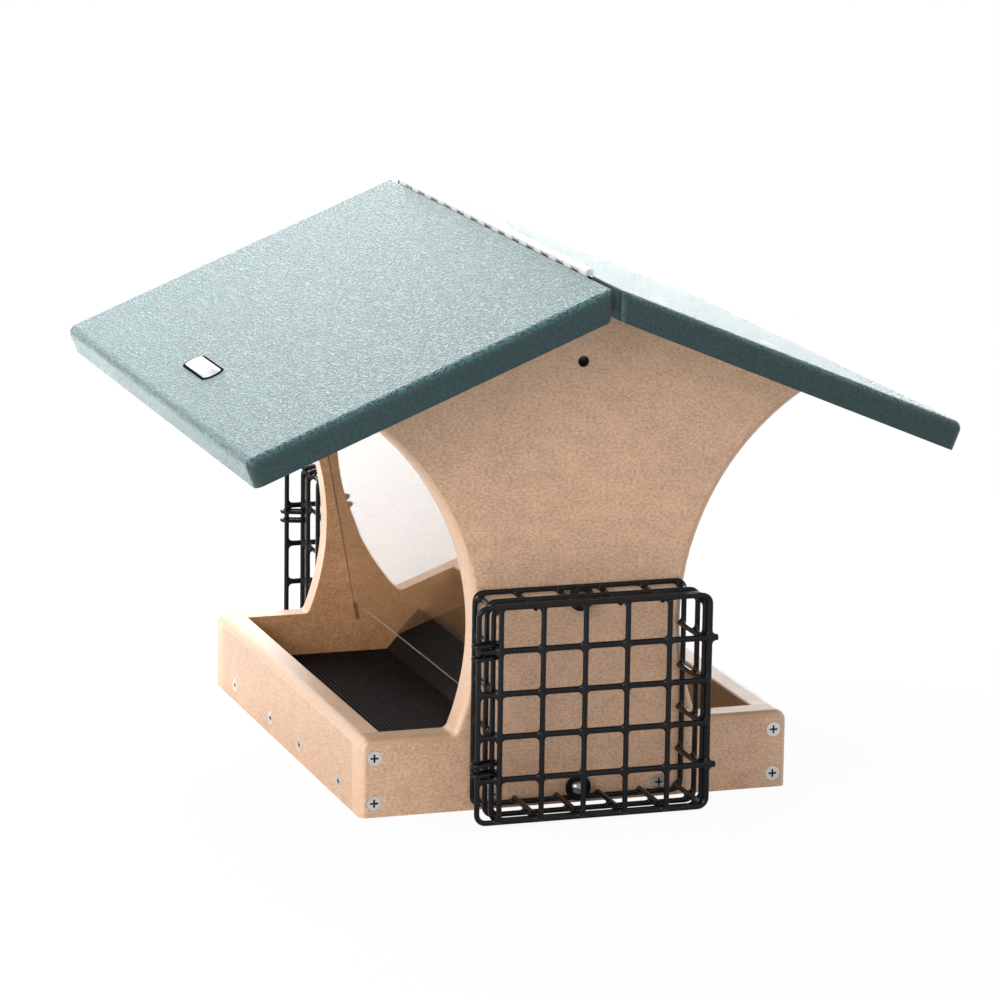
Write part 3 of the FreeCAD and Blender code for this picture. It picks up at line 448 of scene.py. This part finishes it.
def plated_metal(name, tone, polish, head_axis=None, head_plane=0.0, sunk=0.06):
    """Plating with fine marks and dull spots; below the plane of the heads the tone drops to the sunk share,
    as painted shade in recesses.
    """
    material, paint = new_finish(name)
    spot = paint.place()
    speck = paint.noise(spot, 0.6, 2.0)
    dull = paint.noise(spot, 3.0, 3.0).between(0.52, 0.72)
    shade = (0.45 * dull).mix(rgba(tone), rgba(tone, 0.62))
    # Painted shade: below the plane of the heads, in recesses and gaps, the tone is darkened
    if head_axis:
        below = head_plane * MM - spot.along(head_axis)
        shade = below.between(0.08 * MM, 0.45 * MM).mix(shade, rgba(tone, sunk))
    roughness = polish + 0.12 * speck + 0.14 * dull
    paint.done(paint.shader(Base_Color=shade, Metallic=1.0, Roughness=roughness,
                            Normal=paint.bump(speck, 0.03)))
    return material


def label_face(colours):
    """Blank brushed metal face."""
    material, paint = new_finish("label_face")
    spot = paint.place()
    brush = paint.noise(spot, 0.5, 2.0, (1.0, 0.05, 1.0))
    cloud = paint.noise(spot, 12.0, 2.0)
    shade = (0.5 * brush + 0.5 * cloud).between(0.3, 0.7).mix(rgba(colours.label, 0.8), rgba(colours.label))
    roughness = 0.22 + 0.2 * brush
    paint.done(paint.shader(Base_Color=shade, Metallic=0.9, Roughness=roughness,
                            Normal=paint.bump(brush, 0.02)))
    return material


def label_rim():
    """Dark rim of the label."""
    material, paint = new_finish("label_rim")
    speck = paint.noise(paint.place(), 0.7, 2.0)
    shade = speck.mix(RIM_DARK, RIM_LIGHT)
    paint.done(paint.shader(Base_Color=shade, Roughness=0.55 + 0.12 * speck, Specular_IOR_Level=0.0,
                            Normal=paint.bump(speck, 0.03)))
    return material


def wear(material, *names):
    """Give CAD nodes a finish."""
    for name in names:
        skin = nodes[name].data.materials
        skin.clear()
        skin.append(material)


def new_piece(name, mesh, material, body, slot, *replaced):
    """Put a mesh into the scene as a finished piece that rides on a body."""
    piece = bpy.data.objects.new(name, mesh)
    bpy.context.scene.collection.objects.link(piece)
    mesh.materials.clear()
    mesh.materials.append(material)
    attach(piece, body)
    if replaced:
        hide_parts(*replaced)


def evaluated_mesh(thing):
    """A thing's mesh with its modifiers or bevel worked in."""
    depsgraph = bpy.context.evaluated_depsgraph_get()
    return bpy.data.meshes.new_from_object(thing.evaluated_get(depsgraph))


def bent_ring(curve, left, right, low, high, y, bend):
    """Add a closed wire ring, upright at y, with rounded corners."""
    corners = [
        (Vector((left + bend, y, low)), Vector((right - bend, y, low))),
        (Vector((right, y, low + bend)), Vector((right, y, high - bend))),
        (Vector((right - bend, y, high)), Vector((left + bend, y, high))),
        (Vector((left, y, high - bend)), Vector((left, y, low + bend))),
    ]
    spline = curve.splines.new("BEZIER")
    spline.bezier_points.add(2 * len(corners) - 1)
    spline.use_cyclic_u = True
    for number, (start, end) in enumerate(corners):
        run = (end - start) / 3
        arc = run.normalized() * bend * ARC_HANDLE
        for point, place, back, ahead in (
            (spline.bezier_points[2 * number], start, arc, run),
            (spline.bezier_points[2 * number + 1], end, run, arc),
        ):
            point.handle_left_type = "FREE"
            point.handle_right_type = "FREE"
            point.co = place
            point.handle_left = place - back
            point.handle_right = place + ahead


def straight_wire(curve, start, end, stout=1.0):
    """Add a straight wire, stouter than the rest by a factor."""
    spline = curve.splines.new("POLY")
    spline.points.add(1)
    for point, place in zip(spline.points, (start, end)):
        point.co = (*place, 1.0)
        point.radius = stout


def new_wires(name, sizes):
    """A curve to bend wires on, swollen by the coat's fillet."""
    curve = bpy.data.curves.new(name, "CURVE")
    curve.dimensions = "3D"
    curve.bevel_depth = sizes.wire_radius + sizes.coat_fillet
    curve.bevel_resolution = 4
    curve.resolution_u = 8
    curve.use_fill_caps = True
    return curve


def dip_coat(curve, sizes):
    """Skin the swollen wires as one, then shrink the skin, which leaves a fillet at every crossing."""
    swollen = bpy.data.objects.new(curve.name, curve)
    bpy.context.scene.collection.objects.link(swollen)
    dipped = bpy.data.objects.new(curve.name + "_dipped", evaluated_mesh(swollen))
    bpy.context.scene.collection.objects.link(dipped)
    skin = dipped.modifiers.new("Skin", "REMESH")
    skin.mode = "VOXEL"
    skin.voxel_size = sizes.coat_grain
    skin.use_smooth_shade = True
    level = dipped.modifiers.new("Level", "SMOOTH")
    level.factor = 0.5
    level.iterations = 3
    shrink = dipped.modifiers.new("Shrink", "DISPLACE")
    shrink.mid_level = 0.0
    shrink.strength = -COAT_SHRINK * sizes.coat_fillet
    even = dipped.modifiers.new("Even", "SMOOTH")
    even.factor = 0.5
    even.iterations = 4
    mesh = evaluated_mesh(dipped)
    mesh.shade_smooth()
    bpy.data.objects.remove(dipped)
    bpy.data.objects.remove(swollen)
    return mesh


def basket_wires(end, sizes):
    """The basket: three rings and the rungs that join them."""
    side = ENDS[end]
    low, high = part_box(f"{end}_cage_basket")
    radius = sizes.wire_radius
    near, far = (high.y, low.y) if side < 0 else (low.y, high.y)
    back = near + side * radius
    rim = far - side * radius
    left, right = low.x + radius, high.x - radius
    floor, top = low.z + radius, high.z - radius
    curve = new_wires(f"{end}_basket_wires", sizes)
    for y in (back, back + side * sizes.cage_middle, rim):
        bent_ring(curve, left, right, floor, top, y, sizes.cage_bend)
    step = sizes.weld_step
    places = []
    for number in range(1, CELLS):
        column = left + number * (right - left) / CELLS
        row = floor + number * (top - floor) / CELLS
        places += [(column, floor + step), (column, top - step), (left + step, row), (right - step, row)]
    inset = sizes.cage_bend - (sizes.cage_bend - step) * math.sqrt(0.5)
    for x in (left + inset, right - inset):
        places += [(x, floor + inset), (x, top - inset)]
    for x, z in places:
        straight_wire(curve, (x, rim, z), (x, back, z))
    return curve


def door_wires(end, sizes):
    """The door: a ring, uprights in front of it and bars across, two of which stick out as latch ends."""
    side = ENDS[end]
    radius = sizes.wire_radius
    low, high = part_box(f"{end}_cage_door")
    basket_low, basket_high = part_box(f"{end}_cage_basket")
    rim = basket_low.y + radius if side < 0 else basket_high.y - radius
    ring = rim + side * sizes.door_gap
    left = low.x + radius
    right = left + sizes.door_width
    floor, top = low.z + radius, high.z - radius
    curve = new_wires(f"{end}_door_wires", sizes)
    bent_ring(curve, left, right, floor, top, ring, sizes.cage_bend)
    front = ring + side * sizes.weld_step
    for number in range(CELLS):
        x = left + sizes.first_upright + number * sizes.upright_step
        straight_wire(curve, (x, front, floor), (x, front, top))
    bar = ring + side * sizes.door_bar_step
    for number in range(1, CELLS):
        z = floor + number * (top - floor) / CELLS
        reach = sizes.latch if number in (1, CELLS - 1) else 0.0
        straight_wire(curve, (left, bar, z), (right + reach, bar, z), STOUT_BARS)
    return curve


def ribbed_mat(sizes):
    """A mat with rounded ribs along its length, flat underneath."""
    low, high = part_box("floor_mat")
    ribs = round((high.x - low.x) / sizes.mat_pitch)
    pitch = (high.x - low.x) / ribs
    valley = high.z - sizes.mat_rib
    line = [(low.x + (number + across) * pitch, valley + rise * sizes.mat_rib)
            for number in range(ribs) for across, rise in RIB_PROFILE]
    line += [(high.x, valley), (high.x, low.z), (low.x, low.z)]
    ends = [(x, high.z if z >= valley else z) for x, z in line]
    cuts = ((low.y, ends), (low.y + sizes.mat_band, line), (high.y - sizes.mat_band, line), (high.y, ends))
    shape = bmesh.new()
    rows = [[shape.verts.new((x, y, z)) for x, z in cut] for y, cut in cuts]
    for near, far in zip(rows, rows[1:]):
        for number in range(len(line)):
            after = (number + 1) % len(line)
            shape.faces.new((near[number], near[after], far[after], far[number]))
    shape.faces.new(rows[0])
    shape.faces.new(rows[-1])
    bmesh.ops.recalc_face_normals(shape, faces=shape.faces)
    mesh = bpy.data.meshes.new("ribbed_mat")
    shape.to_mesh(mesh)
    shape.free()
    mesh.shade_smooth()
    mesh.set_sharp_from_angle(angle=SHARP_CREASE)
    return mesh


def blank_face(sizes):
    """The label's face: the plate's own outline, set in by the rim and raised a little."""
    upward = Vector((-math.sin(ROOF_PITCH), 0.0, math.cos(ROOF_PITCH)))
    shape = bmesh.new()
    shape.from_mesh(nodes["label_plate"].data)
    bmesh.ops.remove_doubles(shape, verts=shape.verts, dist=1e-6)
    shape.normal_update()
    sunk = [face for face in shape.faces if face.normal.dot(upward) < FACING_UP]
    bmesh.ops.delete(shape, geom=sunk, context="FACES")
    bmesh.ops.dissolve_faces(shape, faces=shape.faces)
    kept = list(shape.faces)
    if len(kept) != 1:
        raise RuntimeError("the label plate has no single top face")
    rim = bmesh.ops.inset_region(shape, faces=kept, thickness=sizes.label_rim, use_even_offset=True,
                                 use_boundary=True)["faces"]
    bmesh.ops.delete(shape, geom=rim, context="FACES")
    raised = bmesh.ops.extrude_face_region(shape, geom=list(shape.faces))["geom"]
    moved = [part for part in raised if isinstance(part, bmesh.types.BMVert)]
    bmesh.ops.translate(shape, verts=moved, vec=upward * sizes.label_rise)
    bmesh.ops.recalc_face_normals(shape, faces=shape.faces)
    mesh = bpy.data.meshes.new("label_face")
    shape.to_mesh(mesh)
    shape.free()
    return mesh


class FEEDER_OT_boards(bpy.types.Operator):
    """Finish the tan boards of the body and the tray"""

    bl_idname = "feeder.boards"
    bl_label = "Tan boards"

    def execute(self, context):
        colours = context.scene.feeder_colours
        wear(tan_board("tan_panel", colours, ALONG_Y, (0.6, 1.0, 1.0), PANEL_FACE - BOARD, ALONG_X), *PANELS)
        wear(tan_board("tan_rail", colours, ALONG_X, (1.0, 0.6, 1.0), RAIL_FACE - BOARD), *RAILS)
        wear(tan_board("tan_floor", colours, ALONG_Z, (1.0, 0.6, 1.0), 0.0), "floor_board")
        return {"FINISHED"}


class FEEDER_OT_roof(bpy.types.Operator):
    """Finish the two green roof boards"""

    bl_idname = "feeder.roof"
    bl_label = "Roof boards"

    def execute(self, context):
        colours = context.scene.feeder_colours
        lean, rise = math.sin(ROOF_PITCH), math.cos(ROOF_PITCH)
        wear(green_board("green_lid", colours, (-lean, 0.0, rise)), "roof_lid")
        wear(green_board("green_fixed", colours, (lean, 0.0, rise)), "fixed_roof")
        return {"FINISHED"}


class FEEDER_OT_cages(bpy.types.Operator):
    """Make the coated wire of the suet cages and finish their fittings"""

    bl_idname = "feeder.cages"
    bl_label = "Suet cages"

    def execute(self, context):
        sizes = context.scene.feeder_sizes
        colours = context.scene.feeder_colours
        coat = coated_wire(colours)
        dome = plated_metal("dome_screw", colours.dome, 0.12)
        for end in ENDS:
            new_piece(f"{end}_basket_wire", dip_coat(basket_wires(end, sizes), sizes), coat,
                      "feeder", "black_wire", f"{end}_cage_basket")
            new_piece(f"{end}_door_wire", dip_coat(door_wires(end, sizes), sizes), coat,
                      f"{end}_door", "black_wire", f"{end}_cage_door")
            wear(coat, f"{end}_cage_hinge_rings", f"{end}_cage_washers")
            wear(dome, f"{end}_cage_screws")
        return {"FINISHED"}


class FEEDER_OT_mat(bpy.types.Operator):
    """Make the ribbed floor mat"""

    bl_idname = "feeder.mat"
    bl_label = "Floor mat"

    def execute(self, context):
        mesh = ribbed_mat(context.scene.feeder_sizes)
        rubber = mat_rubber(context.scene.feeder_colours)
        new_piece("ribbed_mat", mesh, rubber, "feeder", "black_mat", "floor_mat")
        return {"FINISHED"}


class FEEDER_OT_diverter(bpy.types.Operator):
    """Finish the folded seed diverter"""

    bl_idname = "feeder.diverter"
    bl_label = "Seed diverter"

    def execute(self, context):
        wear(diverter_sheet(context.scene.feeder_colours), "seed_diverter")
        return {"FINISHED"}


class FEEDER_OT_windows(bpy.types.Operator):
    """Finish the two clear windows"""

    bl_idname = "feeder.windows"
    bl_label = "Windows"

    def execute(self, context):
        colours = context.scene.feeder_colours
        rise, lean = math.cos(WINDOW_LEAN), math.sin(WINDOW_LEAN)
        wear(clear_sheet("clear_left", colours, (rise, 0.0, lean)), "left_window")
        wear(clear_sheet("clear_right", colours, (rise, 0.0, -lean)), "right_window")
        return {"FINISHED"}


class FEEDER_OT_hinge(bpy.types.Operator):
    """Finish the long hinge on the ridge"""

    bl_idname = "feeder.hinge"
    bl_label = "Ridge hinge"

    def execute(self, context):
        tone = context.scene.feeder_colours.hinge
        # Painted shade: the leaves below the barrel's plane, down in the ridge gap, keep half the tone
        wear(plated_metal("hinge_metal", tone, 0.32, ALONG_Z, HINGE_BARREL, 0.5), *HINGE_PARTS)
        return {"FINISHED"}


class FEEDER_OT_screws(bpy.types.Operator):
    """Finish the board screws"""

    bl_idname = "feeder.screws"
    bl_label = "Board screws"

    def execute(self, context):
        tone = context.scene.feeder_colours.screw
        roof_axis = (math.sin(ROOF_PITCH), 0.0, math.cos(ROOF_PITCH))
        roof_plane = ROOF_APEX * math.cos(ROOF_PITCH) + ROOF_THICKNESS
        # Painted shade: each screw's recess below its head's plane is painted dark
        wear(plated_metal("panel_screw", tone, 0.24, ALONG_Y, PANEL_FACE), *PANEL_SCREWS)
        wear(plated_metal("rail_screw", tone, 0.24, ALONG_X, RAIL_FACE), *RAIL_SCREWS)
        wear(plated_metal("roof_screw", tone, 0.24, roof_axis, roof_plane), "roof_screws")
        return {"FINISHED"}


class FEEDER_OT_label(bpy.types.Operator):
    """Make the blank label near the lid's eave"""

    bl_idname = "feeder.label"
    bl_label = "Blank label"

    def execute(self, context):
        wear(label_rim(), "label_plate")
        mesh = blank_face(context.scene.feeder_sizes)
        new_piece("label_face", mesh, label_face(context.scene.feeder_colours), "lid", "label")
        return {"FINISHED"}


def soft_lamp(name, place, target, width, height, power, spread=180.0):
    """An area lamp that looks at a target."""
    lamp = bpy.data.lights.new(name, "AREA")
    lamp.shape = "RECTANGLE"
    lamp.size = width
    lamp.size_y = height
    lamp.energy = power
    lamp.spread = math.radians(spread)
    holder = bpy.data.objects.new(name, lamp)
    bpy.context.scene.collection.objects.link(holder)
    holder.location = place
    holder.rotation_mode = "QUATERNION"
    holder.rotation_quaternion = (Vector(target) - Vector(place)).to_track_quat("-Z", "Y")


def ray_kinds(paint):
    """1 for rays from the camera or through a clear sheet, and 1 for reflected rays."""
    camera, through, glossy = [paint.node("LightPath", output=f"Is {kind} Ray")
                               for kind in ("Camera", "Transmission", "Glossy")]
    return (camera + through).between(0.0, 1.0), glossy


def make_world(stage):
    """Even light from all round, and a white background for the eye, clear sheets and reflections."""
    world = bpy.data.worlds.new("studio")
    bpy.context.scene.world = world
    world.use_nodes = True
    world.node_tree.nodes.clear()
    paint = Paint(world.node_tree)
    light = paint.node("Background", None, {"Color": WHITE, "Strength": stage.ambient})
    white = paint.node("Background", None, {"Color": WHITE, "Strength": 1.0})
    direct, reflected = ray_kinds(paint)
    seen = paint.node("MixShader", None, {0: (direct + reflected).between(0.0, 1.0), 1: light, 2: white})
    paint.node("OutputWorld", None, {"Surface": seen})


def make_floor(stage, colours):
    """A plain pale floor that keeps a faint shadow and goes over to white further out."""
    half = stage.floor_size / 2
    mesh = bpy.data.meshes.new("studio_floor")
    mesh.from_pydata([(-half, -half, 0.0), (half, -half, 0.0), (half, half, 0.0), (-half, half, 0.0)], [],
                     [(0, 1, 2, 3)])
    floor = bpy.data.objects.new("studio_floor", mesh)
    bpy.context.scene.collection.objects.link(floor)
    material, paint = new_finish("studio_floor")
    lit = paint.shader(Base_Color=rgba(colours.floor), Roughness=0.9, Specular_IOR_Level=0.0)
    white = paint.node("Emission", None, {"Color": WHITE, "Strength": 1.0})
    away = paint.node("VectorMath", {"operation": "LENGTH"}, {0: paint.place()}, output="Value")
    direct, reflected = ray_kinds(paint)
    near = away.between(*FLOOR_FADE, stage.floor_white, 1.0)
    lifted = direct * near + reflected * away.between(*MIRRORED_FADE)
    paint.done(paint.node("MixShader", None, {0: lifted, 1: lit, 2: white}))
    mesh.materials.append(material)


def make_camera(stage):
    """A long lens at the front left, a little above the feeder."""
    data = bpy.data.cameras.new("camera")
    data.sensor_width = 36.0
    data.lens = stage.lens
    data.clip_start = 0.1
    data.clip_end = 100.0
    camera = bpy.data.objects.new("camera", data)
    bpy.context.scene.collection.objects.link(camera)
    turn, tilt = stage.azimuth, stage.elevation
    back = Vector((math.sin(turn) * math.cos(tilt), -math.cos(turn) * math.cos(tilt), math.sin(tilt)))
    right = Vector((math.cos(turn), math.sin(turn), 0.0))
    up = back.cross(right)
    across = math.cos(stage.roll) * right + math.sin(stage.roll) * up
    above = math.cos(stage.roll) * up - math.sin(stage.roll) * right
    rows = Matrix((across, above, back)).transposed().to_4x4()
    camera.matrix_world = Matrix.Translation(stage.camera_place) @ rows
    bpy.context.scene.camera = camera


class FEEDER_OT_stage(bpy.types.Operator):
    """Set the camera, the pale floor and the soft lamps"""

    bl_idname = "feeder.stage"
    bl_label = "Studio"

    def execute(self, context):
        stage = context.scene.feeder_stage
        context.scene.view_settings.view_transform = "Standard"
        make_world(stage)
        make_floor(stage, context.scene.feeder_colours)
        make_camera(stage)
        middle = (0.0, 0.0, 0.12)
        soft_lamp("key_lamp", (-2.1, -0.85, 0.95), middle, 1.6, 1.6, stage.key_power)
        soft_lamp("front_lamp", (-0.95, -0.82, 0.6), middle, 0.7, 0.7, stage.front_power)
        soft_lamp("back_lamp", (0.4, 2.8, 1.15), middle, 3.6, 1.9, stage.back_power)
        soft_lamp("low_lamp", (1.35, 3.0, 0.56), middle, 2.2, 0.7, stage.low_power)
        soft_lamp("floor_lamp", (-0.2, 0.95, 0.9), (-0.2, 0.85, 0.0), 1.4, 0.7, stage.floor_power, 120.0)
        return {"FINISHED"}


class FEEDER_PT_panel(bpy.types.Panel):
    """Feeder pieces, sizes, colours and studio"""

    bl_idname = "FEEDER_PT_panel"
    bl_label = "Hopper bird feeder"
    bl_space_type = "VIEW_3D"
    bl_region_type = "UI"
    bl_category = "Feeder"

    def draw(self, context):
        layout = self.layout
        for step in STEPS:
            layout.operator(f"feeder.{step}")
        for group in (context.scene.feeder_sizes, context.scene.feeder_colours, context.scene.feeder_stage):
            box = layout.box()
            for name in group.__annotations__:
                box.prop(group, name)


STEPS = ("boards", "roof", "cages", "mat", "diverter", "windows", "hinge", "screws", "label", "stage")
CLASSES = (
    FeederSizes,
    FeederColours,
    FeederStage,
    FEEDER_OT_boards,
    FEEDER_OT_roof,
    FEEDER_OT_cages,
    FEEDER_OT_mat,
    FEEDER_OT_diverter,
    FEEDER_OT_windows,
    FEEDER_OT_hinge,
    FEEDER_OT_screws,
    FEEDER_OT_label,
    FEEDER_OT_stage,
    FEEDER_PT_panel,
)


def register():
    for kind in CLASSES:
        bpy.utils.register_class(kind)
    bpy.types.Scene.feeder_sizes = PointerProperty(type=FeederSizes)
    bpy.types.Scene.feeder_colours = PointerProperty(type=FeederColours)
    bpy.types.Scene.feeder_stage = PointerProperty(type=FeederStage)


def unregister():
    del bpy.types.Scene.feeder_stage
    del bpy.types.Scene.feeder_colours
    del bpy.types.Scene.feeder_sizes
    for kind in reversed(CLASSES):
        bpy.utils.unregister_class(kind)


def main():
    register()
    for step in STEPS:
        getattr(bpy.ops.feeder, step)()


if __name__ == "__main__":
    main()
